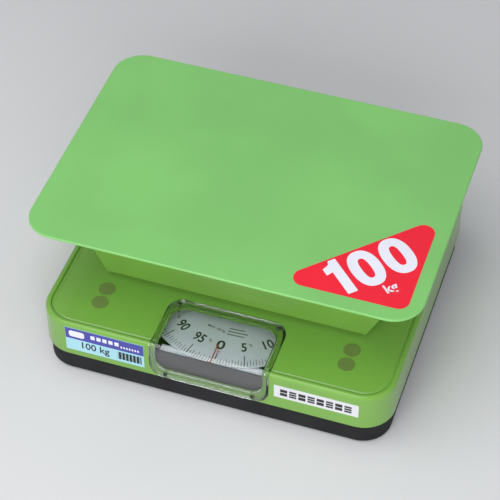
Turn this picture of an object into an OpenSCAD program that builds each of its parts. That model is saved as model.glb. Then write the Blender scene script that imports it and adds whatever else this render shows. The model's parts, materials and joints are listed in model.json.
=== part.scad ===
// Mechanical dial platform scale: a lever scale with a raised platform and a horizontal dial under a window.
// X runs to the right, Y to the back, Z up. The origin is the centre of the footprint on the floor.

/* [Platform] */
// Width of the weighing platform
platform_w = 350; // [340:1:360]
// Depth of the weighing platform
platform_d = 250; // [244:1:256]
// Corner radius of the platform
platform_r = 28; // [15:1:40]
// Sheet thickness of the platform
platform_t = 2; // [1.5:0.1:3]
// Height of the weighing surface above the floor
platform_top = 150; // [148:0.5:156]

/* [Pedestal] */
// Width of the pedestal at its bottom edge
pedestal_w = 241; // [240:1:244]
// Depth of the pedestal over its front and back panels
pedestal_d = 142; // [139:0.5:144]
// Outward slope of the pedestal's sides, in millimetres per millimetre of height
pedestal_slope = 0.479; // [0.3:0.01:0.5]
// Height of the pedestal's bottom edge
pedestal_z = 63.2; // [63:0.1:66]
// Sheet thickness of the pedestal
pedestal_t = 1.2; // [1:0.1:1.5]

/* [Body cover] */
// Width of the body cover
cover_w = 321.3; // [318:0.1:324]
// Depth of the body cover
cover_d = 281.2; // [280:0.1:283]
// Corner radius of the body cover
cover_r = 29; // [27:0.5:31]
// Height of the cover's bottom edge
cover_z = 23.5; // [23:0.5:25]
// Height of the rim round the cover's top
rim_z = 62; // [61.6:0.1:62.4]
// Height of the cover's top panel
panel_z = 60; // [59.8:0.1:60.4]
// Sheet thickness of the cover
cover_t = 1.2; // [1:0.1:1.4]

/* [Base] */
// How far the base is set in from the cover on each side
base_inset = 2.5; // [2:0.5:4]
// Gap between the floor and the underside of the base
base_z = 1.5; // [1:0.1:2]
// Floor and wall thickness of the base
base_t = 2; // [1.8:0.1:2.2]

/* [Levers] */
// Height of the knife edges
knife_z = 26; // [25.5:0.1:26.5]
// Distance of the lever arms from the middle
arm_x = 104; // [103:0.5:105]
// Distance of the fulcrums from the middle
fulcrum_y = 72; // [71.5:0.5:72.5]
// Distance of the load knives from the middle
load_y = 54; // [53.5:0.5:54.5]
// Position of the main lever's nose
nose_y = 128; // [127.5:0.5:128.5]

/* [Dial] */
// Position of the dial's spindle
dial_y = -46; // [-47:0.5:-45]
// Height of the dial's face
dial_z = 50; // [49.5:0.1:50.5]
// Radius of the dial
dial_r = 88.5; // [86:0.5:90]
// Module of the rack and pinion
gear_module = 0.5; // [0.5:0.1:0.5]
// Number of teeth on the pinion
pinion_teeth = 10; // [10:1:10]

/* [Window] */
// Half width of the window's flange on the top panel
window_hw = 54.5; // [53:0.5:56]
// Half width of the window's bubble
bubble_hw = 49.5; // [48:0.5:51]
// Back edge of the window's flange
window_back = -80.5; // [-81:0.5:-80]

/* [Hidden] */

$fn = 64;
eps = 0.05;
// running clearance of shafts, pins and sliding faces
run = 0.06;
sides = [-1, 1];

green = [0.42, 0.66, 0.23];
top_green = [0.49, 0.74, 0.44];
black = [0.09, 0.09, 0.10];
steel = [0.72, 0.73, 0.75];
dark_steel = [0.42, 0.43, 0.45];
brass = [0.78, 0.62, 0.30];
clear = [0.85, 0.92, 0.90, 0.35];

floor_z = base_z + base_t;
base_w = cover_w - 2 * base_inset;
base_d = cover_d - 2 * base_inset;
base_r = cover_r - base_inset;
base_edge = 1.5;
// the cover slides over the ledge round the base
ledge_r = cover_r - cover_t - 0.2;
under_panel = panel_z - cover_t;
// corner posts that carry the feet and hold the cover
post_x = cover_w / 2 - 26;
post_y = cover_d / 2 - 26;
foot_r = 12;
// covered holes over the screws of the fulcrum stands
plug_x = 113.4;
plug_y = [89, 106];
plug_r = 7.5;
pillar_hole_r = 11;
platform_under = platform_top - platform_t;
// height of the nose knife and of the bar that pushes the crank
nose_z = 25;
push_z = 18;
// bell crank: its pivot, its two arms and how far it leans forward when unloaded
crank_x = -5;
crank_y = 108;
crank_z = 12;
crank_arm = 14;
crank_reach = 31.75;
crank_rest = 14.324;
// rack and pinion: one full turn of the dial is one full stroke of the rack
pitch = PI * gear_module;
pinion_r = gear_module * pinion_teeth / 2;
rack_z = 42.7;
rack_h = 5;
rack_back_x = -6.9;
rack_pitch_x = -pinion_r - 0.03;
rack_body_x = rack_pitch_x - 0.62;
rack_travel = pitch * pinion_teeth;
rack_front_y = dial_y - rack_travel - 6;
rack_pin_y = crank_y - crank_reach * sin(crank_rest);
guide_y = [-18, 62];
spindle_r = 2;
pivot_r = 1.2;
// zero wheel, hanger and main spring, all on one vertical line over the lever's nose
spring_y = nose_y;
wheel_z = 50.8;
wheel_r = 15;
wheel_slot = 12;
hanger_r = 2.5;
spring_low = 33;
spring_high = 42.4;
coil_low = 34.9;
coil_high = 40.9;
coil_r = 7;
coil_turns = 3;
coil_steps = 20;
// grooves for the clips on the crank's pin
clip_at = [0.7, 16.1];
// lower and upper edge of the main lever's arms
arm_low = 20.8;
arm_high = 31;
// height of the short levers' tips
tip_z = 11.5;
// the grey plate behind the window
ledge_z = cover_z + 1.8;
bubble_t = 1.2;
bubble_back = -88;
bubble_low = 34.5;
mask_screw_at = [44, -132];
mask_y = -137.6;
mask_t = 1;
mask_top = 53.8;
ledge_back = -124.6;
// screws that hold the brackets to the base's floor
guide_screw_y = [5, 40];
dial_screw_at = [36, 8];
spring_screw_at = [30, 7];
crank_screw_y = 94;

// ---------- shared shapes ----------

// points of an arc about (cx, cy) from angle a0 to a1
function arc(cx, cy, r, a0, a1, n = 6) =
  [for (i = [0:n]) let (a = a0 + (a1 - a0) * i / n) [cx + r * cos(a), cy + r * sin(a)]];

module rounded_rect(w, d, r) {
  square([w - 2 * r, d], center = true);
  square([w, d - 2 * r], center = true);
  for (x = sides, y = sides) translate([x * (w / 2 - r), y * (d / 2 - r)]) circle(r);
}

// carries a profile round a rounded rectangle; the profile's X is the distance from the corner's centre
module sweep_round(w, d, r) {
  for (i = [0:3]) {
    sx = (i == 0 || i == 3) ? 1 : -1;
    sy = (i < 2) ? 1 : -1;
    translate([sx * (w / 2 - r), sy * (d / 2 - r), 0])
      rotate([0, 0, 90 * i]) rotate_extrude(angle = 90) children();
  }
  for (turn = [0, 180]) rotate([0, 0, turn]) {
    translate([w / 2 - r, d / 2 - r, 0]) rotate([90, 0, 0]) linear_extrude(d - 2 * r) children();
    translate([r - w / 2, d / 2 - r, 0]) rotate([90, 0, 90]) linear_extrude(w - 2 * r) children();
  }
}

module plate_box(x0, x1, y0, y1, z0, z1) {
  translate([x0, y0, z0]) cube([x1 - x0, y1 - y0, z1 - z0]);
}

// a plate standing in the YZ plane, centred on x
module yz_plate(x, t) {
  translate([x - t / 2, 0, 0]) rotate([90, 0, 90]) linear_extrude(t) children();
}

// a pan-head screw with its head on z = 0 and its shank going down
module screw_down(shank_r, shank_l, head_r, head_h) {
  translate([0, 0, -shank_l]) cylinder(h = shank_l + head_h / 2, r = shank_r);
  difference() {
    union() {
      cylinder(h = head_h * 0.55, r = head_r);
      translate([0, 0, head_h * 0.55]) cylinder(h = head_h * 0.45, r1 = head_r, r2 = head_r * 0.6);
    }
    for (turn = [0, 90]) rotate([0, 0, turn]) translate([0, 0, head_h])
      cube([head_r * 1.1, head_r * 0.28, head_h * 0.9], center = true);
  }
}

// a knife edge lying along X: a round nose on the axis with a wedge behind it; up = 1 points the edge upwards
module knife(len, up) {
  translate([-len / 2, 0, 0]) rotate([90, 0, 90]) linear_extrude(len) {
    circle(0.8, $fn = 32);
    polygon([[-0.72, -0.3 * up], [0.72, -0.3 * up], [2.4, -2.6 * up], [2.4, -4.6 * up], [-2.4, -4.6 * up],
      [-2.4, -2.6 * up]]);
  }
}

// the V that a knife edge rests in, with its apex just past the edge; slack sinks the apex for a knife that swings
module vee(up, slack = 0) translate([0, slack * up]) {
  polygon([[0, 1.25 * up], [3.6, -2.35 * up], [3.6, -9 * up], [-3.6, -9 * up], [-3.6, -2.35 * up]]);
}

// ---------- base ----------

module base_pan() color(black) difference() {
  union() {
    sweep_round(base_w, base_d, base_r) polygon(concat(
      [[base_r - 5, base_z]], arc(base_r - base_edge, base_z + base_edge, base_edge, -90, 0),
      [[base_r, ledge_z - 1.5], [ledge_r, ledge_z - 1.5], [ledge_r, ledge_z], [base_r - base_t, ledge_z],
      [base_r - base_t, floor_z], [base_r - 5, floor_z]]));
    translate([0, 0, base_z]) linear_extrude(base_t) rounded_rect(base_w - 10, base_d - 10, base_r - 5);
    for (x = sides, y = sides) translate([x * post_x, y * post_y, floor_z]) cylinder(h = 4, r = foot_r + 2);
    for (x = sides) translate([x * mask_screw_at[0], mask_screw_at[1], floor_z - eps])
      cylinder(h = ledge_z - floor_z + eps, r = 3.2);
  }
  for (x = sides, y = sides) translate([x * post_x, y * post_y, 0]) {
    cylinder(h = base_z + 4, r = foot_r);
    cylinder(h = 20, r = 2.3);
  }
  for (x = sides, y = sides, d = plug_y) floor_hole(x * plug_x, y * d, 2.05);
  for (x = sides, y = sides) floor_hole(x * dial_screw_at[0], dial_y + y * dial_screw_at[1], 1.55);
  for (x = sides, y = sides) floor_hole(x * spring_screw_at[0], spring_y - 6 + y * spring_screw_at[1], 1.55);
  for (y = guide_screw_y) floor_hole(crank_x, y, 1.55);
  floor_hole(crank_x, crank_screw_y, 1.55);
  for (x = sides) translate([x * mask_screw_at[0], mask_screw_at[1], ledge_z - 6]) cylinder(h = 9, r = 1.55);
}

module floor_hole(x, y, r) translate([x, y, 0]) cylinder(h = floor_z + 0.5, r = r);

module rubber_feet() color("dimgray") for (x = sides, y = sides) translate([x * post_x, y * post_y, 0])
  difference() {
    rotate_extrude() polygon(concat([[2.3, 0]], arc(9.2, 1, 1, -90, 0, 3), [[11.4, 1.8], [11.4, 5.5], [2.3, 5.5]]));
    cylinder(h = 3, r = 4.6);
  }

module foot_screws() color(steel) for (x = sides, y = sides) translate([x * post_x, y * post_y, 3])
  mirror([0, 0, 1]) screw_down(1.95, 16, 4.2, 2.4);

module cover_studs() color(steel) for (x = sides, y = sides) translate([x * post_x, y * post_y, 0])
  difference() {
    translate([0, 0, floor_z + 4]) cylinder(h = under_panel - floor_z - 4, r = 4);
    cylinder(h = 24, r = 2);
  }

// ---------- cover and window ----------

module body_cover() color(green) difference() {
  union() {
    outer = cover_r;
    inner = cover_r - cover_t;
    sweep_round(cover_w, cover_d, cover_r) polygon(concat(
      [[outer, cover_z]], arc(outer - 3.4, rim_z - 3.4, 3.4, 0, 90), arc(outer - 4.2, rim_z - 0.8, 0.8, 90, 180, 3),
      [[outer - 5.2, panel_z - 0.5], [outer - 7.6, panel_z - 0.5], [outer - 8.8, panel_z],
      [outer - 12, panel_z], [outer - 12, under_panel], [outer - 8.8, under_panel], [outer - 7.6, under_panel - 0.5],
      [outer - 5.6, under_panel - 0.5]], arc(inner - 3, under_panel - 3.2, 3, 70, 0, 4), [[inner, cover_z]]));
    translate([0, 0, under_panel]) linear_extrude(cover_t)
      rounded_rect(cover_w - 24, cover_d - 24, cover_r - 12);
  }
  // window opening over the front edge
  translate([0, 0, 50]) linear_extrude(20) window_hole();
  translate([0, -cover_d / 2 - 5, 0]) rotate([90, 0, 0]) mirror([0, 0, 1]) linear_extrude(12) front_hole();
  // pillar holes
  for (x = sides, y = sides) translate([x * arm_x, y * load_y, 50]) cylinder(h = 20, r = pillar_hole_r);
  // covered holes
  for (x = sides, y = sides, d = plug_y) translate([x * plug_x, y * d, 50]) cylinder(h = 20, r = plug_r - 0.9);
  // window screw holes
  for (x = sides) {
    translate([x * 46, -86.5, 50]) cylinder(h = 20, r = 1.2);
    translate([x * 40, -cover_d / 2 - 5, 29]) rotate([-90, 0, 0]) cylinder(h = 12, r = 1.2);
  }
  // slot for the zero wheel
  plate_box(-wheel_slot, wheel_slot, cover_d / 2 - 6, cover_d / 2 + 5, wheel_z - 4.4, wheel_z + 4.4);
}

// outline of the opening in the top panel, running out past the front edge
module window_hole() {
  hw = bubble_hw - 0.8;
  back = -89;
  translate([-hw, -cover_d / 2 - 10]) square([2 * hw, cover_d / 2 + 10 + back - 15]);
  translate([15 - hw, back - 20]) square([2 * hw - 30, 20]);
  for (x = sides) translate([x * (hw - 15), back - 15]) circle(15);
}

// outline of the opening in the front wall, seen from the front
module front_hole() {
  hw = bubble_hw - 0.8;
  low = 35.3;
  translate([-hw, low + 12]) square([2 * hw, 30]);
  translate([12 - hw, low]) square([2 * hw - 24, 20]);
  for (x = sides) translate([x * (hw - 12), low + 12]) circle(12);
}

module hole_plugs() color([0.45, 0.5, 0.3, 0.8]) for (x = sides, y = sides, d = plug_y)
  translate([x * plug_x, y * d, 0]) {
    translate([0, 0, panel_z]) cylinder(h = 0.3, r = plug_r);
    translate([0, 0, panel_z - 2.4]) cylinder(h = 2.4, r = plug_r - 1);
  }

// rounded rectangle cut off past its front edge, so that only its back corners are round
module back_rounded(hw, back, front, r) {
  translate([-hw, front]) square([2 * hw, back - r - front]);
  translate([r - hw, front]) square([2 * hw - 2 * r, back - front]);
  for (x = sides) translate([x * (hw - r), back - r]) circle(r);
}

// the clear window: a flange on the panel and the front, and a raised bubble over both
module window_cover() color(clear) difference() {
  union() {
    window_form(window_hw, window_back, 14, 24.6, 14) polygon(concat([[window_back + 5, 20]], window_skin(1)));
    window_form(bubble_hw, bubble_back, 16, bubble_low, 13) bubble_side(0);
  }
  intersection() {
    window_form(bubble_hw - bubble_t, bubble_back - bubble_t, 16 - bubble_t, bubble_low + bubble_t, 13 - bubble_t)
      bubble_side(bubble_t);
    translate([-80, -200, 20]) cube([160, 160, 80]);
  }
  yz_plate(0, 120) difference() {
    polygon(concat([[window_back + 9, 10]], window_skin(0)));
    translate([-200, 0]) square(10);
  }
  for (x = sides) {
    translate([x * 46, -86.5, 50]) cylinder(h = 20, r = 1.3);
    translate([x * 40, -cover_d / 2 - 5, 29]) rotate([-90, 0, 0]) cylinder(h = 12, r = 1.3);
  }
}

// what three views share: the plan, the front and the side, which is the child
module window_form(hw, back, back_r, low, low_r) intersection() {
  translate([0, 0, 20]) linear_extrude(60) back_rounded(hw, back, -cover_d / 2 - 8, back_r);
  translate([0, -60, 0]) rotate([90, 0, 0]) linear_extrude(100) front_outline(hw, low, 80, low_r);
  yz_plate(0, 200) children();
}

// side view of the cover's skin from the panel over the rim and down the front, moved out by t
function window_skin(t) = let (front = -cover_d / 2, outer = t > 0, dip = outer ? 0 : 0.5) concat(
  [[window_back + (outer ? 5 : 9), panel_z + t], [front + 8.8 + t, panel_z + t],
  [front + 7.6 + t, panel_z + t - dip], [front + 5.2 + t, panel_z + t - dip]],
  arc(front + 4.2, rim_z - 0.8, 0.8 + t, outer ? 30 : 0, 90, 3), arc(front + 3.4, rim_z - 3.4, 3.4 + t, 90, 180),
  [[front - t, outer ? 20 : 10]]);

// front view of a panel with round lower corners
module front_outline(hw, low, high, r) {
  translate([-hw, low + r]) square([2 * hw, high - low - r]);
  translate([r - hw, low]) square([2 * hw - 2 * r, high - low]);
  for (x = sides) translate([x * (hw - r), low + r]) circle(r);
}

// side view of the bubble, taken in by the wall
module bubble_side(wall) {
  top = rim_z + 2.2 - wall;
  front = -cover_d / 2 - 2.4 + wall;
  r = 5 - wall;
  polygon(concat([[-70, 20], [-70, top]], arc(front + r, top - r, r, 90, 180), [[front, 20]]));
}

module window_screws() color(steel) {
  for (x = sides) {
    translate([x * 46, -86.5, panel_z + 1]) screw_down(1.15, 4.2, 2, 1.3);
    translate([x * 40, -cover_d / 2 - 1, 29]) rotate([90, 0, 0]) screw_down(1.15, 4.2, 2, 1.3);
  }
}

module window_nuts() color(steel) for (x = sides) {
  translate([x * 46, -86.5, under_panel - 1.4]) small_nut();
  translate([x * 40, cover_t - cover_d / 2, 29]) rotate([-90, 0, 0]) small_nut();
}

module small_nut() difference() {
  cylinder(h = 1.4, r = 2.6, $fn = 6);
  translate([0, 0, -1]) cylinder(h = 4, r = 1.2);
}

module capacity_label() color([0.6, 0.62, 0.85]) plate_box(-133, -59.5, -cover_d / 2 - 0.25, -cover_d / 2, 30, 58.2);

module use_label() color([0.88, 0.88, 0.9]) plate_box(59.5, 135, -cover_d / 2 - 0.25, -cover_d / 2, 37, 52);

// grey plate behind the window's front, with a folded foot and two ears for the needle's bridge
module mask_plate() color([0.36, 0.36, 0.39]) {
  back = mask_y + mask_t;
  difference() {
    union() {
      plate_box(-49, 49, mask_y, back, ledge_z, mask_top);
      plate_box(-49, 49, mask_y, mask_screw_at[1] + 3, ledge_z, ledge_z + mask_t);
    }
    for (x = sides) {
      translate([x * mask_screw_at[0], mask_screw_at[1], 0]) cylinder(h = 40, r = 1.6);
      translate([x * 40, mask_y, 29]) rotate([90, 0, 0]) cylinder(h = 4, r = 1.6, center = true);
    }
  }
  for (x = sides) yz_plate(x * 48.5, 1) polygon([[back, 42], [back, mask_top], [-131, mask_top], [-128, 46]]);
}

module mask_screws() color(steel) for (x = sides)
  translate([x * mask_screw_at[0], mask_screw_at[1], ledge_z + mask_t]) screw_down(1.5, 5, 2.6, 1.8);

// pale strip behind the grey plate that closes the gap under the dial's front edge
module dial_ledge() color([0.8, 0.85, 0.84]) plate_box(-47.9, 47.9, mask_y + mask_t, ledge_back, 47.4, 48.4);

// red pointer with a bent foot on the grey plate
module needle() color("red") {
  foot = mask_y + mask_t;
  plate_box(-0.5, 0.5, foot, -114.5, mask_top - 0.5, mask_top);
  plate_box(-3, 3, foot, foot + 0.5, 48.7, mask_top);
}

// ---------- stands and brackets on the base ----------

module fulcrum_stands() color(dark_steel) for (x = sides, y = sides) mirror([x < 0 ? 1 : 0, 0, 0])
  mirror([0, y < 0 ? 1 : 0, 0]) difference() {
    union() {
      for (side = sides) yz_plate(arm_x + side * 6.5, 2.5) difference() {
        polygon([[65, floor_z], [79, floor_z], [78, knife_z + 5], [66, knife_z + 5]]);
        translate([fulcrum_y, knife_z]) vee(-1);
      }
      plate_box(arm_x - 7.75, arm_x + 16, 64, 112, floor_z, floor_z + 2);
    }
    for (d = plug_y) translate([plug_x, d, 0]) cylinder(h = 10, r = 2.1);
  }

module stand_screws() color(steel) for (x = sides, y = sides, d = plug_y)
  translate([x * plug_x, y * d, floor_z + 2]) screw_down(2, 3.4, 4, 2.6);

// two legs on a folded foot each side, a low cross plate for the footstep and a top plate for the bush
module dial_bracket() color(steel) difference() {
  union() {
    for (x = sides) {
      plate_box(x * 26 - 1, x * 26 + 1, dial_y - 14, dial_y + 14, floor_z, 47.8);
      plate_box(min(x * 26, x * 42), max(x * 26, x * 42), dial_y - 14, dial_y + 14, floor_z, floor_z + 2);
    }
    plate_box(-26, 26, dial_y - 14, dial_y + 14, 45.8, 47.8);
    plate_box(-26, 26, dial_y - 8, dial_y + 8, 33.6, 35.6);
  }
  translate([0, dial_y, 30]) cylinder(h = 30, r = 4);
  for (x = sides, y = sides) translate([x * dial_screw_at[0], dial_y + y * dial_screw_at[1], 0])
    cylinder(h = 10, r = 1.6);
}

module dial_bracket_screws() color(steel) for (x = sides, y = sides)
  translate([x * dial_screw_at[0], dial_y + y * dial_screw_at[1], floor_z + 2]) screw_down(1.5, 3.4, 3, 2);

module dial_bush() color(brass) translate([0, dial_y, 0]) difference() {
  union() {
    translate([0, 0, 45.8]) cylinder(h = 2, r = 4);
    translate([0, 0, 47.8]) cylinder(h = 0.4, r = 5.4);
  }
  cylinder(h = 60, r = spindle_r + run);
}

module footstep_bearing() color(brass) translate([0, dial_y, 0]) difference() {
  union() {
    translate([0, 0, 33.6]) cylinder(h = 2, r = 4);
    translate([0, 0, 35.6]) cylinder(h = 0.8, r = 5.4);
  }
  translate([0, 0, 34.4]) cylinder(h = 9, r = pivot_r + run);
}

// two upright plates, each with a window that keeps the rack straight
module rack_guide() color(steel) difference() {
  union() {
    for (y = guide_y) plate_box(-14, 2, y - 1.2, y + 1.2, floor_z, rack_z + 4.5);
    plate_box(-14, 2, guide_y[0] - 1.2, guide_y[1] + 1.2, floor_z, floor_z + 1.6);
  }
  for (y = guide_y) plate_box(rack_back_x - run, rack_body_x + run, y - 3, y + 3,
    rack_z - rack_h / 2 - run, rack_z + rack_h / 2 + run);
  for (y = guide_screw_y) translate([crank_x, y, 0]) cylinder(h = 9, r = 1.6);
}

module rack_guide_screws() color(steel) for (y = guide_screw_y) translate([crank_x, y, floor_z + 1.6])
  screw_down(1.5, 3, 3, 2);

module crank_bracket() color(steel) difference() {
  union() {
    for (x = sides) yz_plate(crank_x + x * 6, 1.6)
      polygon([[crank_y - 7, floor_z], [crank_y + 5, floor_z], [crank_y + 4, crank_z + 4],
        [crank_y - 4, crank_z + 4]]);
    plate_box(crank_x - 6.8, crank_x + 6.8, crank_screw_y - 6, crank_y + 5, floor_z, floor_z + 1.6);
  }
  translate([-20, crank_y, crank_z]) rotate([0, 90, 0]) cylinder(h = 40, r = 1.5);
  translate([crank_x, crank_screw_y, 0]) cylinder(h = 9, r = 1.6);
}

module crank_bracket_screws() color(steel) translate([crank_x, crank_screw_y, floor_z + 1.6])
  screw_down(1.5, 3, 3, 2);

module crank_pin() color(steel) translate([crank_x - 8.8, crank_y, crank_z]) rotate([0, 90, 0]) difference() {
  cylinder(h = 17.6, r = 1.5);
  for (z = clip_at) translate([0, 0, z]) difference() {
    cylinder(h = 0.8, r = 3);
    translate([0, 0, -1]) cylinder(h = 3, r = 1.1);
  }
}

module crank_clips() color(steel) for (z = clip_at) translate([crank_x - 8.8 + z, crank_y, crank_z])
  rotate([0, 90, 0]) difference() {
    cylinder(h = 0.8, r = 3.2);
    translate([0, 0, -1]) cylinder(h = 3, r = 1.1);
    translate([-0.9, 0, -1]) cube([1.8, 5, 3]);
  }

// bridge over the lever's nose that carries the spring's hanger
module spring_bracket() color(steel) difference() {
  union() {
    for (x = sides) {
      plate_box(x * 24 - 1, x * 24 + 1, spring_y - 16, spring_y + 5, floor_z, 47.5);
      plate_box(min(x * 24, x * 36), max(x * 24, x * 36), spring_y - 16, spring_y + 5, floor_z, floor_z + 2);
    }
    plate_box(-24, 24, spring_y - 8.5, spring_y + 5, 45.5, 47.5);
  }
  translate([0, spring_y, 40]) cylinder(h = 20, r = hanger_r + run);
  for (x = sides, y = sides) translate([x * spring_screw_at[0], spring_y - 6 + y * spring_screw_at[1], 0])
    cylinder(h = 10, r = 1.6);
}

module spring_bracket_screws() color(steel) for (x = sides, y = sides)
  translate([x * spring_screw_at[0], spring_y - 6 + y * spring_screw_at[1], floor_z + 2])
    screw_down(1.5, 3.4, 3, 2);

// ---------- platform ----------

module platform_plate() color(top_green) {
  r = platform_r;
  sweep_round(platform_w, platform_d, r) polygon(concat([[r - 8, platform_top]],
    arc(r - 1.2, platform_top - 1.2, 1.2, 90, 0, 4), arc(r - 0.5, platform_under + 0.5, 0.5, 0, -90, 2),
    [[r - 8, platform_under]]));
  translate([0, 0, platform_under]) linear_extrude(platform_t)
    rounded_rect(platform_w - 16, platform_d - 16, r - 8);
}

// half width of the pedestal at height z
function pedestal_hw(z) = pedestal_w / 2 + pedestal_slope * (z - pedestal_z);

// one folded sheet: the bottom, two slanted sides and a flange under the platform at each
module pedestal_channel() color(green) {
  inside = pedestal_d / 2 - pedestal_t;
  t = pedestal_t;
  low = pedestal_hw(pedestal_z + t);
  high = pedestal_hw(platform_under - t);
  right = [[low, pedestal_z], [high + 1.5, platform_under], [high - 14, platform_under],
    [high - 14, platform_under - t], [high, platform_under - t], [low - 1, pedestal_z + t]];
  left = [for (i = [len(right) - 1:-1:0]) [-right[i][0], right[i][1]]];
  difference() {
    translate([0, inside, 0]) rotate([90, 0, 0]) linear_extrude(2 * inside) polygon(concat(right, left));
    for (x = sides, y = sides) translate([x * arm_x, y * load_y, 50]) cylinder(h = 30, r = 2.6);
  }
}

module pedestal_panel() color(green) {
  t = pedestal_t;
  low = pedestal_hw(pedestal_z);
  high = pedestal_hw(platform_under - t);
  translate([0, t - pedestal_d / 2, 0]) rotate([90, 0, 0]) linear_extrude(t)
    polygon([[-low, pedestal_z], [low, pedestal_z], [high, platform_under], [-high, platform_under]]);
  plate_box(20 - high, high - 20, t - pedestal_d / 2, 14 - pedestal_d / 2, platform_under - t, platform_under);
}

module pedestal_front() pedestal_panel();
module pedestal_back() mirror([0, 1, 0]) pedestal_panel();

module pillars() color(steel) for (x = sides, y = sides) translate([x * arm_x, y * load_y, 0]) difference() {
  union() {
    translate([0, 0, 40]) cylinder(h = pedestal_z - 40, r = 7);
    plate_box(-7.75, 7.75, -6, 6, 36, 42);
  }
  translate([0, 0, pedestal_z - 9]) cylinder(h = 10, r = 2.5);
  translate([0, 0, 35]) cylinder(h = 9, r = 1.6);
}

module pillar_screws() color(steel) for (x = sides, y = sides)
  translate([x * arm_x, y * load_y, pedestal_z + pedestal_t]) screw_down(2.45, 9, 5, 3);

// forked block whose two ears sit on the load knife
module load_bearings() color(dark_steel) for (x = sides, y = sides) translate([x * arm_x, y * load_y, 0])
  difference() {
    union() {
      for (side = sides) yz_plate(side * 6.5, 2.5) difference() {
        polygon([[-6, 22], [6, 22], [6, 36], [-6, 36]]);
        translate([0, knife_z]) vee(1);
      }
      plate_box(-7.75, 7.75, -6, 6, 33.5, 36);
    }
    translate([0, 0, 30]) cylinder(h = 9, r = 1.6);
  }

module bearing_screws() color(steel) for (x = sides, y = sides)
  translate([x * arm_x, y * load_y, 33.5]) mirror([0, 0, 1]) screw_down(1.5, 9, 2.9, 1.6);

// ---------- levers ----------

// long V-shaped lever: two arms that run back and meet at the nose
module main_lever() color(dark_steel) difference() {
  union() {
    for (x = sides) {
      yz_plate(x * arm_x, 5) polygon([[-80, arm_low], [-80, arm_high], [8, arm_high], [8, arm_low]]);
      translate([0, 0, arm_low]) linear_extrude(arm_high - arm_low) polygon([[x * (arm_x + 2.5), 8 - eps],
        [x * (arm_x + 2.5), 9], [x * 8.3, 123], [x * 4.6, 123], [x * (arm_x - 2.5), 6],
        [x * (arm_x - 2.5), 8 - eps]]);
      // prong of the nose
      plate_box(x * 6.45 - 1.85, x * 6.45 + 1.85, 118.6, nose_y + 4, push_z, arm_high);
    }
    plate_box(-8.3, 8.3, 118.6, 121.8, arm_low, arm_high);
    // bar that pushes the crank down
    plate_box(-8.3, 8.3, 119.7, 122.6, push_z, push_z + 2);
    // cross tie between the two arms
    plate_box(-arm_x, arm_x, -14, -10, 22, 26);
  }
  main_knives();
}

module main_knives() {
  for (x = sides) {
    translate([x * arm_x, -fulcrum_y, knife_z]) knife(18, -1);
    translate([x * arm_x, -load_y, knife_z]) knife(18, 1);
    translate([x * arm_x, 0, knife_z]) knife(15, 1);
  }
  translate([0, nose_y, nose_z]) knife(16.6, -1);
}

module main_lever_knives() color(steel) main_knives();

// short lever of one side, drawn on the right; its tip hangs low so that the shackle pulls on the main lever
module short_lever() difference() {
  yz_plate(arm_x, 5) polygon([[80, 22], [80, 31], [46, 31], [26, 17.5], [-5, 17.5], [-5, 8.5], [28, 8.5], [46, 21]]);
  short_knives();
}

module short_knives() {
  translate([arm_x, fulcrum_y, knife_z]) knife(18, -1);
  translate([arm_x, load_y, knife_z]) knife(18, 1);
  translate([arm_x, 0, tip_z]) knife(15, -1);
}

module lever_right() color(dark_steel) short_lever();
module lever_left() color(dark_steel) mirror([1, 0, 0]) short_lever();
module lever_right_knives() color(steel) short_knives();
module lever_left_knives() color(steel) mirror([1, 0, 0]) short_knives();

// two link plates joined by a bar; each has a V over the main lever's knife and one under the short lever's
module shackle() color(steel) {
  for (side = sides) yz_plate(arm_x + side * 5, 2) difference() {
    polygon([[-6.4, 6.6], [6.4, 6.6], [6.4, 31.5], [-6.4, 31.5]]);
    intersection() {
      translate([0, knife_z]) vee(1);
      translate([-5, 20]) square([10, 12]);
    }
    intersection() {
      translate([0, tip_z]) vee(-1, 0.6);
      translate([-5, 6]) square([10, 12]);
    }
  }
  plate_box(arm_x - 6, arm_x + 6, -6.4, 6.4, 31.5, 33);
}

module shackle_right() shackle();
module shackle_left() mirror([1, 0, 0]) shackle();

// hook between the spring and the nose knife
module stirrup() color(steel) translate([0, spring_y, 0]) yz_plate(0, 3) difference() {
  polygon([[-5, 21], [-3.5, 20.3], [3.5, 20.3], [5, 21], [5, 31.5], [3, 35.4], [-3, 35.4], [-5, 31.5]]);
  intersection() {
    translate([0, nose_z]) vee(-1, 0.3);
    translate([-5, 20]) square([10, 10.6]);
  }
  translate([0, spring_low]) circle(1.3);
}

function unit(v) = v / norm(v);
function path_dir(p, i) = unit(p[min(i + 1, len(p) - 1)] - p[max(i - 1, 0)]);

// a round wire of radius r along the points of a path that never runs along the direction "across"
module wire(path, r, n, across) {
  last = len(path) - 1;
  points = [for (i = [0:last])
    let (d = path_dir(path, i), side = unit(cross(d, across)), up = cross(side, d))
    for (k = [0:n - 1]) path[i] + r * (cos(360 * k / n) * side + sin(360 * k / n) * up)];
  walls = [for (i = [0:last - 1], k = [0:n - 1])
    [i * n + k, i * n + (k + 1) % n, (i + 1) * n + (k + 1) % n, (i + 1) * n + k]];
  ends = [[for (k = [n - 1:-1:0]) k], [for (k = [0:n - 1]) last * n + k]];
  polyhedron(points, concat(walls, ends));
}

// extension spring whose two ends pass through the stirrup and the hanger
module main_spring() color(steel) translate([0, spring_y, 0]) {
  helix = [for (i = [0:coil_steps * coil_turns]) let (a = 360 * i / coil_steps)
    [coil_r * cos(a), coil_r * sin(a), coil_low + (coil_high - coil_low) * i / (coil_steps * coil_turns)]];
  low_end = [[-2.4, 0, spring_low], [2.4, 0, spring_low], [4.6, -0.5, spring_low + 0.3],
    [6.3, -1.3, spring_low + 1.1]];
  high_end = [[6.3, 1.3, spring_high - 1.1], [4.6, 0.5, spring_high - 0.3], [2.4, 0, spring_high],
    [-2.4, 0, spring_high]];
  wire(concat(low_end, helix, high_end), 0.9, 10, [0, 0, 1]);
}

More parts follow.
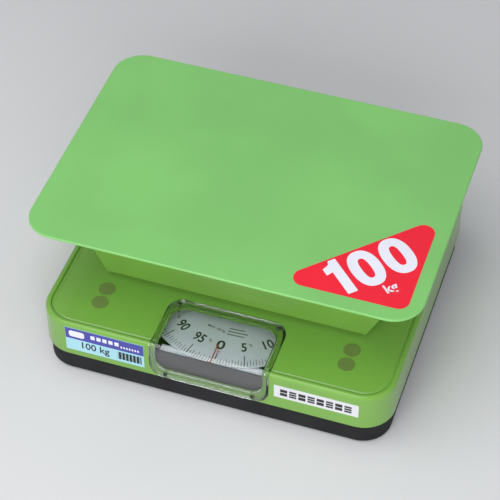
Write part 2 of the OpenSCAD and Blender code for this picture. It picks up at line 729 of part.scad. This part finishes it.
// threaded rod that carries the spring's top end through the bridge
module hanger_rod() color(steel) translate([0, spring_y, 0]) {
  translate([0, 0, 44.2]) cylinder(h = 13, r = hanger_r);
  yz_plate(0, 3) difference() {
    polygon([[-3.5, 40.6], [3.5, 40.6], [3.5, 44.25], [-3.5, 44.25]]);
    translate([0, spring_high]) circle(1.3);
  }
}

// knurled nut that raises and lowers the hanger
module zero_wheel() color(black) translate([0, spring_y, 0]) difference() {
  union() {
    translate([0, 0, wheel_z - 2.5]) cylinder(h = 5, r = wheel_r - 0.5);
    for (i = [0:35]) rotate([0, 0, 10 * i]) translate([wheel_r - 0.7, 0, wheel_z - 2.5])
      cylinder(h = 5, r = 0.7, $fn = 6);
    translate([0, 0, wheel_z - 3.2]) cylinder(h = 6.4, r = 5);
  }
  translate([0, 0, 30]) cylinder(h = 30, r = 2.5 + run);
}

// ---------- dial drive ----------

// points of the crank's arms in the YZ plane, turned to the unloaded position
module bell_crank() color(steel) translate([crank_x, crank_y, crank_z]) rotate([crank_rest, 0, 0]) difference() {
  union() {
    translate([-4.6, 0, 0]) rotate([0, 90, 0]) cylinder(h = 9.2, r = 3);
    yz_plate(0, 2) {
      polygon([[-2.6, 0], [2.6, 0], [2, crank_reach], [-2, crank_reach]]);
      polygon([[0, -2.4], [crank_arm, -1.5], [crank_arm, 1.5], [0, 2.4]]);
      translate([0, crank_reach]) circle(2.1);
      translate([crank_arm, 0]) circle(1.8);
    }
    translate([-0.9, 0, crank_reach]) rotate([0, 90, 0]) cylinder(h = 3.8, r = 1.2);
    translate([-0.9, crank_arm, 0]) rotate([0, 90, 0]) cylinder(h = 11, r = 2.1);
  }
  translate([-10, 0, 0]) rotate([0, 90, 0]) cylinder(h = 20, r = 1.5 + run);
}

// light torsion spring on the crank's pin
module crank_spring() color(steel) translate([crank_x, crank_y, crank_z])
  wire([for (i = [0:42]) let (a = 30 * i) [-3.9 + 2.5 * i / 42, 3.65 * cos(a), 3.65 * sin(a)]], 0.3, 8, [1, 0, 0]);

// flat bar with teeth on the pinion's side and a slotted tail for the crank's pin
module rack() color(brass) difference() {
  low = rack_z - rack_h / 2;
  union() {
    plate_box(rack_back_x, rack_body_x, rack_front_y, rack_pin_y - 5, low, low + rack_h);
    for (i = [-14:4]) translate([rack_pitch_x, dial_y + (i + 0.5) * pitch, low]) linear_extrude(rack_h)
      polygon([[-0.7, -0.5], [-0.62, -0.5], [0.4, -0.14], [0.4, 0.14], [-0.62, 0.5], [-0.7, 0.5]]);
    yz_plate(crank_x + 2.05, 1.6) polygon([[rack_pin_y - 10, low], [rack_pin_y + 3.2, low - 1],
      [rack_pin_y + 3.2, low + rack_h + 2], [rack_pin_y - 4, low + rack_h + 2], [rack_pin_y - 10, low + rack_h]]);
  }
  plate_box(-20, 20, rack_pin_y - 1.45, rack_pin_y + 1.45, low + 0.8, low + rack_h + 0.8);
}

module spindle() color(steel) translate([0, dial_y, 0]) difference() {
  union() {
    translate([0, 0, 34.6]) cylinder(h = 11, r = pivot_r);
    translate([0, 0, 45.5]) cylinder(h = dial_z - 45.5, r = spindle_r);
  }
  translate([0, 0, dial_z - 4.4]) cylinder(h = 6, r = 1);
}

module pinion() color(brass) translate([0, dial_y, rack_z - 2.7]) difference() {
  linear_extrude(5.4) {
    circle(1.86, $fn = 60);
    for (i = [0:pinion_teeth - 1]) rotate(180 + 360 / pinion_teeth * i)
      polygon([[1.5, -0.44], [1.86, -0.42], [pinion_r, -0.3], [pinion_r + 0.4, -0.12], [pinion_r + 0.4, 0.12],
        [pinion_r, 0.3], [1.86, 0.42], [1.5, 0.44]]);
  }
  translate([0, 0, -1]) cylinder(h = 8, r = pivot_r);
}

module dial_hub() color(brass) translate([0, dial_y, 0]) difference() {
  union() {
    translate([0, 0, dial_z - 1.6]) cylinder(h = 0.8, r = 9);
    translate([0, 0, dial_z - 1.6]) cylinder(h = 1.6, r = 3.4);
  }
  cylinder(h = 60, r = spindle_r);
}

module dial_disc() color([0.8, 0.85, 0.84]) translate([0, dial_y, dial_z - 0.8]) difference() {
  cylinder(h = 0.8, r = dial_r, $fn = 180);
  translate([0, 0, -1]) cylinder(h = 4, r = 3.45);
}

module dial_screw() color(steel) translate([0, dial_y, dial_z]) screw_down(0.95, 3.8, 4.4, 1.6);

base_pan();
rubber_feet();
foot_screws();
cover_studs();
body_cover();
hole_plugs();
window_cover();
window_screws();
window_nuts();
capacity_label();
use_label();
mask_plate();
mask_screws();
dial_ledge();
needle();
fulcrum_stands();
stand_screws();
dial_bracket();
dial_bracket_screws();
dial_bush();
footstep_bearing();
rack_guide();
rack_guide_screws();
crank_bracket();
crank_bracket_screws();
crank_pin();
crank_clips();
spring_bracket();
spring_bracket_screws();
platform_plate();
pedestal_channel();
pedestal_front();
pedestal_back();
pillars();
pillar_screws();
load_bearings();
bearing_screws();
main_lever();
main_lever_knives();
lever_left();
lever_left_knives();
lever_right();
lever_right_knives();
shackle_left();
shackle_right();
stirrup();
main_spring();
hanger_rod();
zero_wheel();
bell_crank();
crank_spring();
rack();
spindle();
pinion();
dial_hub();
dial_disc();
dial_screw();
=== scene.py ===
"""Mechanical dial platform scale: materials, clear window, dial print, labels, light and camera."""
import json
import math

import bmesh
import bpy
from mathutils import Matrix, Vector


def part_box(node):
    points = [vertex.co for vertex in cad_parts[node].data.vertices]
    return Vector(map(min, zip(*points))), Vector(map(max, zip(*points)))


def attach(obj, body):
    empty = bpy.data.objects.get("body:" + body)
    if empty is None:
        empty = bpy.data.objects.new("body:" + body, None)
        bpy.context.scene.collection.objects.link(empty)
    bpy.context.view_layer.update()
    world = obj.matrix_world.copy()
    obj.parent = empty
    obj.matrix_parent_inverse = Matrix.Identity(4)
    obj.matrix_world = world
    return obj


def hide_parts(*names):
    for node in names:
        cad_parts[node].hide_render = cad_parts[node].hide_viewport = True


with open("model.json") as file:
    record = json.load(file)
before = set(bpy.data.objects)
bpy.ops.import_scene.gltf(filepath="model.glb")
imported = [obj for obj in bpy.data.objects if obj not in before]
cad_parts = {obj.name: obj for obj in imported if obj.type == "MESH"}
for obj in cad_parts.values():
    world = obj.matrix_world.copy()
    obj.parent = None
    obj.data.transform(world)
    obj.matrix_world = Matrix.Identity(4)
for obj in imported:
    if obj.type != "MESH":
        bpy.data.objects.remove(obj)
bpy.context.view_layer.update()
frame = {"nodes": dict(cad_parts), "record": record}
MM = 0.001


# ---------- materials ----------

class Surface:
    """A principled material whose colour, roughness and bump come from noise in object space."""

    def __init__(self, name):
        self.material = bpy.data.materials.new(name)
        self.material.use_nodes = True
        self.tree = self.material.node_tree
        self.shader = self.tree.nodes["Principled BSDF"]
        self.place = self.node("ShaderNodeTexCoord").outputs["Object"]

    def node(self, kind, **values):
        made = self.tree.nodes.new(kind)
        for key, value in values.items():
            made.inputs[key].default_value = value
        return made

    def link(self, source, target):
        self.tree.links.new(source, target)

    def set(self, **values):
        """Sets sockets of the shader; an underscore in a name stands for a space."""
        for key, value in values.items():
            self.shader.inputs[key.replace("_", " ")].default_value = value
        return self

    def noise(self, scale, detail=3.0, stretch=(1, 1, 1)):
        mapping = self.node("ShaderNodeMapping", Scale=stretch)
        self.link(self.place, mapping.inputs["Vector"])
        made = self.node("ShaderNodeTexNoise", Scale=scale, Detail=detail)
        self.link(mapping.outputs["Vector"], made.inputs["Vector"])
        return made.outputs["Fac"]

    def ramp(self, source, low, high, start=0.35, end=0.65):
        made = self.node("ShaderNodeValToRGB")
        first, last = made.color_ramp.elements
        first.position, first.color = start, (*low, 1)
        last.position, last.color = end, (*high, 1)
        self.link(source, made.inputs["Fac"])
        return made.outputs["Color"]

    def colour(self, low, high, scale, detail=3.0, stretch=(1, 1, 1)):
        self.link(self.ramp(self.noise(scale, detail, stretch), low, high), self.shader.inputs["Base Color"])
        return self

    def rough(self, low, high, scale, stretch=(1, 1, 1)):
        made = self.node("ShaderNodeMapRange")
        made.inputs["To Min"].default_value = low
        made.inputs["To Max"].default_value = high
        self.link(self.noise(scale, 3.0, stretch), made.inputs["Value"])
        self.link(made.outputs["Result"], self.shader.inputs["Roughness"])
        return self

    def bump(self, strength, depth, scale, detail=2.0, stretch=(1, 1, 1)):
        made = self.node("ShaderNodeBump", Strength=strength, Distance=depth)
        self.link(self.noise(scale, detail, stretch), made.inputs["Height"])
        self.link(made.outputs["Normal"], self.shader.inputs["Normal"])
        return self


def between(colour, spread):
    """The two ends of a colour's slight variation."""
    return [c * (1 - spread) for c in colour], [min(1, c * (1 + spread)) for c in colour]


def enamel(name, colour, gloss=0.3, spread=0.05):
    """Stove enamel on steel: an even colour, a slight orange peel and a clear gloss."""
    made = Surface(name).colour(*between(colour, spread), 9)
    made.rough(gloss - 0.04, gloss + 0.06, 35).bump(0.10, 0.0003, 520)
    made.set(Specular_IOR_Level=0.5, Coat_Weight=0.45, Coat_Roughness=0.16)
    return made.material


def metal(name, colour, gloss, stretch=(1, 1, 1), grain=400, spread=0.12):
    """Bare or plated metal with a fine grain that can run one way."""
    made = Surface(name).colour(*between(colour, spread), grain * 0.5, 4.0, stretch)
    made.rough(gloss - 0.06, gloss + 0.1, grain, stretch).bump(0.12, 0.0001, grain, 3.0, stretch)
    made.set(Metallic=1.0)
    return made.material


def plain(name, colour, gloss=0.5, spread=0.06, grain=300, relief=0.08):
    """Plastic, rubber, paper or print: a matt surface with a fine grain."""
    made = Surface(name).colour(*between(colour, spread), grain * 0.1)
    made.rough(gloss - 0.05, gloss + 0.05, grain * 0.3).bump(relief, 0.0002, grain)
    return made.material


def matt_black(name):
    """Black paint with a fine crackle that hardly shines."""
    made = Surface(name).colour((0.018, 0.018, 0.019), (0.026, 0.026, 0.027), 30)
    made.rough(0.62, 0.78, 60).bump(0.15, 0.0002, 700)
    made.set(Specular_IOR_Level=0.2)
    return made.material


def clear_plastic(name):
    """Clear moulded acrylic with a faint waviness."""
    made = Surface(name).colour((0.97, 0.985, 0.98), (0.985, 0.995, 0.99), 12).rough(0.02, 0.06, 60)
    made.bump(0.05, 0.0004, 40)
    made.set(Transmission_Weight=1.0, IOR=1.49)
    return made.material


# one green enamel in two copies: the platform's is lighter and bluer, with painted light and a painted sky
# reflection for its lit top; the cover's is darker, with painted shade for where it lies under the platform
PLATFORM_GREEN_PAINTED_LIGHT = (0.212, 0.548, 0.148)
COVER_GREEN_PAINTED_SHADE = (0.178, 0.385, 0.058)
LOOKS = {
    "base_black": matt_black("base_black"),
    "foot_rubber": plain("foot_rubber", (0.035, 0.035, 0.035), 0.75, 0.15, 900, 0.3),
    "zinc_steel": metal("zinc_steel", (0.62, 0.63, 0.66), 0.32),
    "cover_green": enamel("cover_green", COVER_GREEN_PAINTED_SHADE),
    "platform_green": enamel("platform_green", PLATFORM_GREEN_PAINTED_LIGHT),
    "plug_plastic": plain("plug_plastic", (0.150, 0.222, 0.060), 0.3),
    "window_clear": clear_plastic("window_clear"),
    "label_blue": plain("label_blue", (0.38, 0.68, 0.78), 0.35, 0.03),
    "label_white": plain("label_white", (0.72, 0.72, 0.77), 0.35, 0.03),
    "mask_grey": plain("mask_grey", (0.085, 0.080, 0.090), 0.5),
    "needle_red": plain("needle_red", (0.52, 0.02, 0.03), 0.4),
    "lever_steel": enamel("lever_steel", (0.12, 0.125, 0.13), 0.5, 0.15),
    "bright_steel": metal("bright_steel", (0.70, 0.70, 0.72), 0.22, (1, 6, 1)),
    "spring_steel": metal("spring_steel", (0.42, 0.42, 0.44), 0.28),
    "brass": metal("brass", (0.72, 0.50, 0.20), 0.28),
    "dial_face": plain("dial_face", (0.82, 0.86, 0.98), 0.4, 0.02),
    "wheel_black": plain("wheel_black", (0.03, 0.03, 0.03), 0.45, 0.15),
}
INK = plain("ink_black", (0.012, 0.012, 0.013), 0.4, 0.2)
RED_PRINT = plain("print_red", (0.60, 0.03, 0.03), 0.4)
STICKER_RED = plain("sticker_red", (0.85, 0.012, 0.035), 0.3, 0.03)
SCREW_DARK = metal("screw_dark", (0.16, 0.16, 0.15), 0.35)
STICKER_WHITE = plain("sticker_white", (0.80, 0.81, 0.90), 0.35, 0.02)
BAND_BLUE = plain("band_blue", (0.062, 0.062, 0.36), 0.35, 0.03)


for part in frame["record"]["subparts"]:
    shown = frame["nodes"][part["node"]]
    shown.data.materials.clear()
    look = SCREW_DARK if part["node"] == "window_screws" else LOOKS[part["material_slot"]]
    shown.data.materials.append(look)


# ---------- building pieces ----------

def piece(name, mesh, body, material, smooth=False):
    """Adds a mesh as a piece that rides on a body."""
    made = bpy.data.objects.new(name, mesh)
    bpy.context.scene.collection.objects.link(made)
    mesh.materials.clear()
    mesh.materials.append(material)
    for face in mesh.polygons:
        face.use_smooth = smooth
    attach(made, body)
    return made


def mesh_from(name, work):
    bmesh.ops.recalc_face_normals(work, faces=work.faces)
    mesh = bpy.data.meshes.new(name)
    work.to_mesh(mesh)
    work.free()
    return mesh


def add_prism(work, outline, matrix, depth):
    """A thin closed plate: its outline is flat in XY, and it stands depth high."""
    low = [work.verts.new(matrix @ Vector((x, y, 0))) for x, y in outline]
    high = [work.verts.new(matrix @ Vector((x, y, depth))) for x, y in outline]
    work.faces.new(low)
    work.faces.new(high)
    for i in range(len(outline)):
        j = (i + 1) % len(outline)
        work.faces.new((low[i], low[j], high[j], high[i]))


def box_outline(x0, x1, y0, y1):
    return [(x0, y0), (x1, y0), (x1, y1), (x0, y1)]


def rounded(points, radius, steps=8):
    """A polygon, given counter-clockwise, with every corner rounded."""
    out = []
    for i, point in enumerate(points):
        here = Vector(point)
        back = (Vector(points[i - 1]) - here).normalized()
        ahead = (Vector(points[(i + 1) % len(points)]) - here).normalized()
        half = back.angle(ahead) / 2
        centre = here + (back + ahead).normalized() * radius / math.sin(half)
        start = here + back * radius / math.tan(half) - centre
        turn = math.pi - 2 * half
        for k in range(steps + 1):
            out.append(tuple(centre + Matrix.Rotation(turn * k / steps, 2) @ start))
    return out


def add_text(work, text, size, matrix, weight=0.0, narrow=1.0, depth=0.05):
    """Adds lettering in the built-in font, centred on the matrix's origin; sizes are in millimetres."""
    data = bpy.data.curves.new("letters", "FONT")
    data.body = text
    data.size = size
    data.align_x = "CENTER"
    data.align_y = "CENTER"
    data.offset = weight
    data.resolution_u = 3
    data.extrude = depth / 2
    holder = bpy.data.objects.new("letters", data)
    bpy.context.scene.collection.objects.link(holder)
    bpy.context.view_layer.update()
    mesh = bpy.data.meshes.new_from_object(holder)
    mesh.transform(matrix @ Matrix.Translation((0, 0, depth / 2)) @ Matrix.Diagonal((narrow, 1, 1, 1)))
    work.from_mesh(mesh)
    bpy.data.meshes.remove(mesh)
    bpy.data.objects.remove(holder)
    bpy.data.curves.remove(data)


def printed(name, body, material, draw):
    """A piece of print: draw adds thin plates and letters, in millimetres."""
    work = bmesh.new()
    draw(work)
    bmesh.ops.scale(work, vec=(MM, MM, MM), verts=work.verts)
    return piece(name, mesh_from(name, work), body, material)


# ---------- dial ----------

DIAL_X, DIAL_Y, DIAL_Z = 0.0, -46.0, 50.0
TURN_PER_KG = 3.6
ZERO_ANGLE = 1.2
CAPACITY = 100
TICK_OUTER = 86.2
NUMBER_RADIUS = 66.0
# length and width of the ticks for five kilograms, one kilogram and half a kilogram
FIVE_TICK, ONE_TICK, HALF_TICK = (10.8, 0.85), (6.0, 0.45), (4.6, 0.45)
# the tick at zero is shorter and starts further in, under the small unit
ZERO_LENGTH, ZERO_INSET = 6.4, 4.4
INK_T = 0.05
PRINT_GAP = 0.02


def on_dial(kg, radius, lift=PRINT_GAP):
    """Place on the dial at a load and radius; its X runs towards heavier loads and its Y to the centre."""
    turn = math.radians(TURN_PER_KG * kg + ZERO_ANGLE)
    centre = Matrix.Translation((DIAL_X, DIAL_Y, DIAL_Z + lift))
    return centre @ Matrix.Rotation(turn, 4, "Z") @ Matrix.Translation((0, -radius, 0))


def draw_ticks(work):
    for half in range(2 * CAPACITY):
        length, width = FIVE_TICK if half % 10 == 0 else (ONE_TICK if half % 2 == 0 else HALF_TICK)
        outer = TICK_OUTER
        if half == 0:
            length = ZERO_LENGTH
            outer -= ZERO_INSET
        add_prism(work, box_outline(-width / 2, width / 2, 0, length), on_dial(half / 2, outer), INK_T)


def draw_numbers(work):
    """The numbers, each five kilograms apart, with a small unit after every second one."""
    for kg in range(0, CAPACITY, 5):
        size, narrow = (14.0, 1.16) if kg == 0 else (13.6, 0.82)
        add_text(work, str(kg), size, on_dial(kg, NUMBER_RADIUS), 0.26, narrow)
        if kg % 10 == 5:
            side = 4.6 if kg < 10 else 8.4
            mark = on_dial(kg, NUMBER_RADIUS) @ Matrix.Translation((side + 1.2, 3.4, 0))
            add_text(work, "kg", 4.2, mark, 0.0, 0.8)


def draw_small_print(work):
    """Generic small print behind the zero: rows of short blocks, and a capacity line beside them."""
    corner = on_dial(0.4, 52.5)
    for row, words in enumerate((9, 10, 8)):
        for word in range(words):
            left = 1.8 * word + 0.3 * row
            add_prism(work, box_outline(left, left + 1.15, 3.4 * row, 3.4 * row + 1.5), corner, INK_T)
    add_text(work, "MAX 100 kg", 3.4, on_dial(-3.1, 49), 0.03, 1.0)


printed("dial_ticks", "dial", INK, draw_ticks)
printed("dial_numbers", "dial", INK, draw_numbers)
printed("dial_small_print", "dial", INK, draw_small_print)
printed("dial_zero_mark", "dial", RED_PRINT,
        lambda work: add_text(work, "kg", 3.2, on_dial(0.1, NUMBER_RADIUS + 7.0), 0.0, 0.9))


# ---------- labels on the front ----------

def front_place(node):
    """Place on a label's front face: X to the right and Y up from its lower left corner, with its size."""
    low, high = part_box(node)
    place = Matrix.Translation((low[0] / MM, low[1] / MM - PRINT_GAP, low[2] / MM))
    upright = place @ Matrix.Rotation(math.radians(90), 4, "X")
    return upright, (high[0] - low[0]) / MM, (high[2] - low[2]) / MM


BLUE_PLACE, BLUE_W, BLUE_H = front_place("capacity_label")
WHITE_PLACE = front_place("use_label")[0]
# the blue band's lower edge and its margin to the label's edges
BAND_LOW, BAND_EDGE = 14.7, 0.2
# height of the white label's blocks and the gap between the strips of one block
WORD_H, WORD_GAP = 9.0, 0.9


def draw_band(work):
    outline = box_outline(BAND_EDGE, BLUE_W - BAND_EDGE, BAND_LOW, BLUE_H - BAND_EDGE)
    add_prism(work, outline, BLUE_PLACE, INK_T)


def draw_band_marks(work):
    """Generic pale blocks where the maker's print would be."""
    lift = BLUE_PLACE @ Matrix.Translation((0, 0, INK_T))
    for column in range(5):
        x = 24 + 5.6 * column
        add_prism(work, box_outline(x, x + 3.9, 19.5, 24.2), lift, 0.04)
    for column in range(7):
        x = 52 + 2.6 * column
        add_prism(work, box_outline(x, x + 1.5, 18.2, 20.6), lift, 0.04)
    add_prism(work, rounded(box_outline(3.5, 18, 17.5, 25), 2.4), lift, 0.04)


def draw_capacity(work):
    add_text(work, "100 kg", 11.5, BLUE_PLACE @ Matrix.Translation((27, 8.2, 0)), 0.16, 0.9)


def draw_bars(work):
    """Upright bars of four widths in turn, which stand for no number."""
    x = 49.0
    for bar in range(26):
        width = 0.3 + 0.25 * ((bar * 7) % 4)
        add_prism(work, box_outline(x, x + width, 3.2, 12.6), BLUE_PLACE, INK_T)
        x += 0.84


def draw_words(work):
    """Generic dark blocks in place of the printed words, each with a line or two through it."""
    for letter in range(8):
        x = 5.6 + 8.2 * letter
        lines = 2 + letter % 2
        height = WORD_H / lines - WORD_GAP
        for row in range(lines):
            y = 3.2 + (height + WORD_GAP) * row
            add_prism(work, box_outline(x, x + 6.4, y, y + height), WHITE_PLACE, INK_T)


printed("label_band", "base", BAND_BLUE, draw_band)
printed("label_band_marks", "base", STICKER_WHITE, draw_band_marks)
printed("label_capacity", "base", INK, draw_capacity)
printed("label_bars", "base", INK, draw_bars)
printed("label_words", "base", INK, draw_words)


# ---------- red sticker on the platform ----------

PLATFORM_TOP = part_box("platform_plate")[1][2] / MM
# corners of the sticker before they are rounded
STICKER = [(49.6, -110.7), (162.4, -110.7), (162.4, 3.4)]
STICKER_R = 9.5
STICKER_T = 0.12


def slanted(x, y, lift):
    """Place on the platform where letters stand at half a right angle to its front edge."""
    place = Matrix.Translation((x, y, PLATFORM_TOP + lift))
    return place @ Matrix.Rotation(math.radians(45), 4, "Z")


def draw_sticker(work):
    place = Matrix.Translation((0, 0, PLATFORM_TOP + 0.01))
    add_prism(work, rounded(STICKER, STICKER_R, 14), place, STICKER_T)


def oval(half_w, half_h, power, steps=48):
    """A closed curve between an ellipse and a rectangle."""
    out = []
    for k in range(steps):
        c, s = math.cos(2 * math.pi * k / steps), math.sin(2 * math.pi * k / steps)
        out.append((half_w * math.copysign(abs(c) ** (2 / power), c),
                    half_h * math.copysign(abs(s) ** (2 / power), s)))
    return out


def add_band(work, outer, inner, matrix, depth):
    """A thin closed plate with a hole: two outlines with the same number of points."""
    rings = [[work.verts.new(matrix @ Vector((x, y, z))) for x, y in line]
             for line, z in ((outer, 0), (inner, 0), (inner, depth), (outer, depth))]
    count = len(outer)
    for a, b in zip(rings, rings[1:] + rings[:1]):
        for i in range(count):
            j = (i + 1) % count
            work.faces.new((a[i], a[j], b[j], b[i]))


# half height of a zero; the half widths of its outside and its hole; the stroke at its top and bottom
ZERO_HALF_H, ZERO_HALF_W, HOLE_HALF_W, ZERO_STROKE = 21.0, 13.6, 4.2, 9.2
# outline of the figure one, counter-clockwise from the foot
ONE = [(-2.4, -20.4), (6.6, -20.4), (6.6, 20.0), (-0.2, 20.0),
       (-2.2, 15.8), (-8.4, 13.4), (-8.4, 5.8), (-2.4, 7.0)]


def draw_sticker_print(work):
    """The capacity in heavy upright figures, and its unit."""
    lift = STICKER_T + 0.01
    add_prism(work, ONE, slanted(99.4, -91.4, lift), INK_T)
    for x, y in ((118, -74.6), (138.8, -52.4)):
        outside = oval(ZERO_HALF_W, ZERO_HALF_H, 2.3)
        hole = oval(HOLE_HALF_W, ZERO_HALF_H - ZERO_STROKE, 2.6)
        add_band(work, outside, hole, slanted(x, y, lift), INK_T)
    add_text(work, "kg", 13.4, slanted(143.4, -90.0, lift), 0.28)


printed("capacity_sticker", "platform", STICKER_RED, draw_sticker)
printed("capacity_sticker_print", "platform", STICKER_WHITE, draw_sticker_print)


# ---------- clear window ----------

FRONT_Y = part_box("body_cover")[0][1] / MM
SKIN_TOP, RIM_TOP = 60.0, 62.0
FLANGE_HALF, BUBBLE_HALF = 54.5, 49.5
FLANGE_BACK, BUBBLE_BACK = -80.5, -88.0
FLANGE_LOW, BUBBLE_LOW = 24.6, 34.5
SHEET = 1.0
BUBBLE_TOP = RIM_TOP + 2.2
BUBBLE_FRONT = FRONT_Y - 2.4
FLANGE_R, BUBBLE_BACK_R, BUBBLE_LOW_R = 14, 16, 13
# radius of the cover's top front edge and of the bubble's bend over it
EDGE_R, BEND_R = 3.4, 5
# rings over the bubble's middle, how far in from its edge they stop, and points on each side of a ring
MIDDLE_RINGS, MIDDLE_INSET, PER_SIDE = 22, 3.6, 40


def arc(cy, cz, radius, start, end, steps):
    """Points of an arc in a side view, with its angles in degrees."""
    angles = [math.radians(start + (end - start) * k / steps) for k in range(steps + 1)]
    return [(cy + radius * math.cos(angle), cz + radius * math.sin(angle)) for angle in angles]


# side views from the back edge over the rim and down the front, as (y, z)
FLANGE_PATH = [(FLANGE_BACK, SKIN_TOP + SHEET), (FRONT_Y + 10.2, SKIN_TOP + SHEET),
               (FRONT_Y + 8.4, SKIN_TOP + SHEET + 0.15), (FRONT_Y + 6.3, RIM_TOP + SHEET - 0.5)]
FLANGE_PATH += [(FRONT_Y + 5.4, RIM_TOP + SHEET - 0.1)]
FLANGE_PATH += arc(FRONT_Y + EDGE_R, RIM_TOP - EDGE_R, EDGE_R + SHEET, 90, 180, 10)
FLANGE_PATH += [(FRONT_Y - SHEET, FLANGE_LOW)]
BUBBLE_PATH = [(FLANGE_BACK, BUBBLE_TOP)]
BUBBLE_PATH += arc(BUBBLE_FRONT + BEND_R, BUBBLE_TOP - BEND_R, BEND_R, 90, 180, 12)
BUBBLE_PATH += [(BUBBLE_FRONT, FLANGE_LOW)]


def lengths(path):
    out = [0.0]
    for (y0, z0), (y1, z1) in zip(path, path[1:]):
        out.append(out[-1] + math.hypot(y1 - y0, z1 - z0))
    return out


def along(path, marks, s):
    """The point of a path at a distance s along it."""
    for i in range(len(path) - 1):
        if s <= marks[i + 1] or i == len(path) - 2:
            t = (s - marks[i]) / (marks[i + 1] - marks[i])
            return tuple(a + (b - a) * t for a, b in zip(path[i], path[i + 1]))


FLANGE_MARKS = lengths(FLANGE_PATH)
BUBBLE_MARKS = lengths(BUBBLE_PATH)
S_END = FLANGE_MARKS[-1]
S_BACK = FLANGE_BACK - BUBBLE_BACK
S_FRONT = S_END - (BUBBLE_LOW - FLANGE_LOW)


def on_rounded(u, v, half, s0, s1, r0, r1):
    """The point of a rounded rectangle in (x, s) in the direction (u, v) of a square's edge."""
    x = u * half
    s = (s0 + s1) / 2 + v * (s1 - s0) / 2
    far = v > 0
    radius = r1 if far else r0
    cx = math.copysign(half - radius, x)
    cs = s1 - r1 if far else s0 + r0
    if abs(x) > abs(cx) and (s > cs if far else s < cs):
        dx, ds = x - cx, s - cs
        size = math.hypot(dx, ds)
        return cx + dx * radius / size, cs + ds * radius / size
    return x, s


# the bubble's wall: distance out from its outline, and the share of the bubble's height there
WALL = [(-3.2, 1.0), (-1.7, 0.985), (-0.9, 0.93), (-0.4, 0.82), (-0.1, 0.6), (0.05, 0.35), (0.25, 0.12),
        (0.6, 0.03), (1.2, 0.0)]


def window_rings():
    """Rings from the middle outwards: kind, scale, distance past the bubble's outline, bubble's share."""
    inner = [(k / MIDDLE_RINGS, 0.0, 1.0) for k in range(1, MIDDLE_RINGS)]
    wall = [(1.0, distance, share) for distance, share in WALL]
    outer = [(1.0, 2.4, 0.0), (1.0, 3.6, 0.0), (1.0, None, 0.0)]
    return [("inner", *ring) for ring in inner] + [("edge", *ring) for ring in wall + outer]


def window_mesh():
    """The window's outer skin: rings from the middle of the bubble out to the flange's edge."""
    square = []
    for side in range(4):
        for k in range(PER_SIDE):
            t = 2 * k / PER_SIDE - 1
            square.append(((t, -1), (1, t), (-t, 1), (-1, -t))[side])
    work = bmesh.new()

    def vert(x, s, share):
        y0, z0 = along(FLANGE_PATH, FLANGE_MARKS, s)
        y1, z1 = along(BUBBLE_PATH, BUBBLE_MARKS, s * BUBBLE_MARKS[-1] / S_END)
        return work.verts.new((x * MM, (y0 + (y1 - y0) * share) * MM, (z0 + (z1 - z0) * share) * MM))

    middle = (S_BACK + S_FRONT) / 2
    centre = vert(0, middle, 1.0)
    before = None
    for kind, scale, distance, share in window_rings():
        ring = []
        for u, v in square:
            bx, bs = on_rounded(u, v, BUBBLE_HALF, S_BACK, S_FRONT, BUBBLE_BACK_R, BUBBLE_LOW_R)
            fx, fs = on_rounded(u, v, FLANGE_HALF, 0, S_END, FLANGE_R, FLANGE_R)
            if kind == "inner":
                inset = 1 - MIDDLE_INSET / BUBBLE_HALF
                x, s = bx * scale * inset, middle + (bs - middle) * scale * inset
            elif distance is None:
                x, s = fx, fs
            else:
                gap = math.hypot(fx - bx, fs - bs)
                x, s = bx + (fx - bx) * distance / gap, bs + (fs - bs) * distance / gap
            ring.append(vert(x, s, share))
        count = len(ring)
        for k in range(count):
            if before is None:
                work.faces.new((centre, ring[k], ring[(k + 1) % count]))
            else:
                work.faces.new((before[k], ring[k], ring[(k + 1) % count], before[(k + 1) % count]))
        before = ring
    return mesh_from("clear_window", work)


window = piece("clear_window", window_mesh(), "base", LOOKS["window_clear"], smooth=True)
shell = window.modifiers.new("sheet", "SOLIDIFY")
shell.thickness = (SHEET - 0.06) * MM
shell.offset = -1
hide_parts("window_cover")


# ---------- floor, light and camera ----------

# the floor is a hair below the feet, so that their soles are not in its plane
FLOOR_HALF, FLOOR_Z = 6, -0.0002
floor_mesh = bpy.data.meshes.new("floor")
floor_outline = box_outline(-FLOOR_HALF, FLOOR_HALF, -FLOOR_HALF, FLOOR_HALF)
floor_mesh.from_pydata([(x, y, FLOOR_Z) for x, y in floor_outline], [], [(0, 1, 2, 3)])
floor = bpy.data.objects.new("floor", floor_mesh)
bpy.context.scene.collection.objects.link(floor)
floor_look = Surface("floor_paper").colour((0.66, 0.66, 0.67), (0.68, 0.68, 0.69), 3).rough(0.7, 0.8, 20)
floor_mesh.materials.append(floor_look.material)

world = bpy.data.worlds.new("studio")
world.use_nodes = True
world.node_tree.nodes["Background"].inputs["Color"].default_value = (0.93, 0.96, 1.0, 1)
world.node_tree.nodes["Background"].inputs["Strength"].default_value = 0.38
bpy.context.scene.world = world
bpy.context.scene.view_settings.view_transform = "Standard"


def soft_light(name, place, target, size, power):
    data = bpy.data.lights.new(name, "AREA")
    data.shape = "RECTANGLE"
    data.size, data.size_y = size
    data.energy = power
    made = bpy.data.objects.new(name, data)
    made.location = place
    made.rotation_euler = (Vector(target) - Vector(place)).to_track_quat("-Z", "Y").to_euler()
    bpy.context.scene.collection.objects.link(made)
    return made


soft_light("key", (-0.35, -0.5, 1.6), (0, -0.1, 0.05), (1.4, 1.4), 13.6)
front_box = soft_light("front_box", (0.2, -1.6, 1.0), (0, -0.45, 0.0), (1.6, 0.7), 22)
# out of mirror reflections, so that it leaves no glare on the platform when that is seen from behind
front_box.visible_glossy = False

CAMERA_AT = (0.36286, -1.11131, 1.27094)
CAMERA_LOOK = (-0.22045, 0.65852, -0.71955)
lens = bpy.data.cameras.new("camera")
lens.sensor_width = 36
lens.lens = 133.5
camera = bpy.data.objects.new("camera", lens)
camera.location = CAMERA_AT
camera.rotation_euler = Vector(CAMERA_LOOK).to_track_quat("-Z", "Y").to_euler()
bpy.context.scene.collection.objects.link(camera)
bpy.context.scene.camera = camera
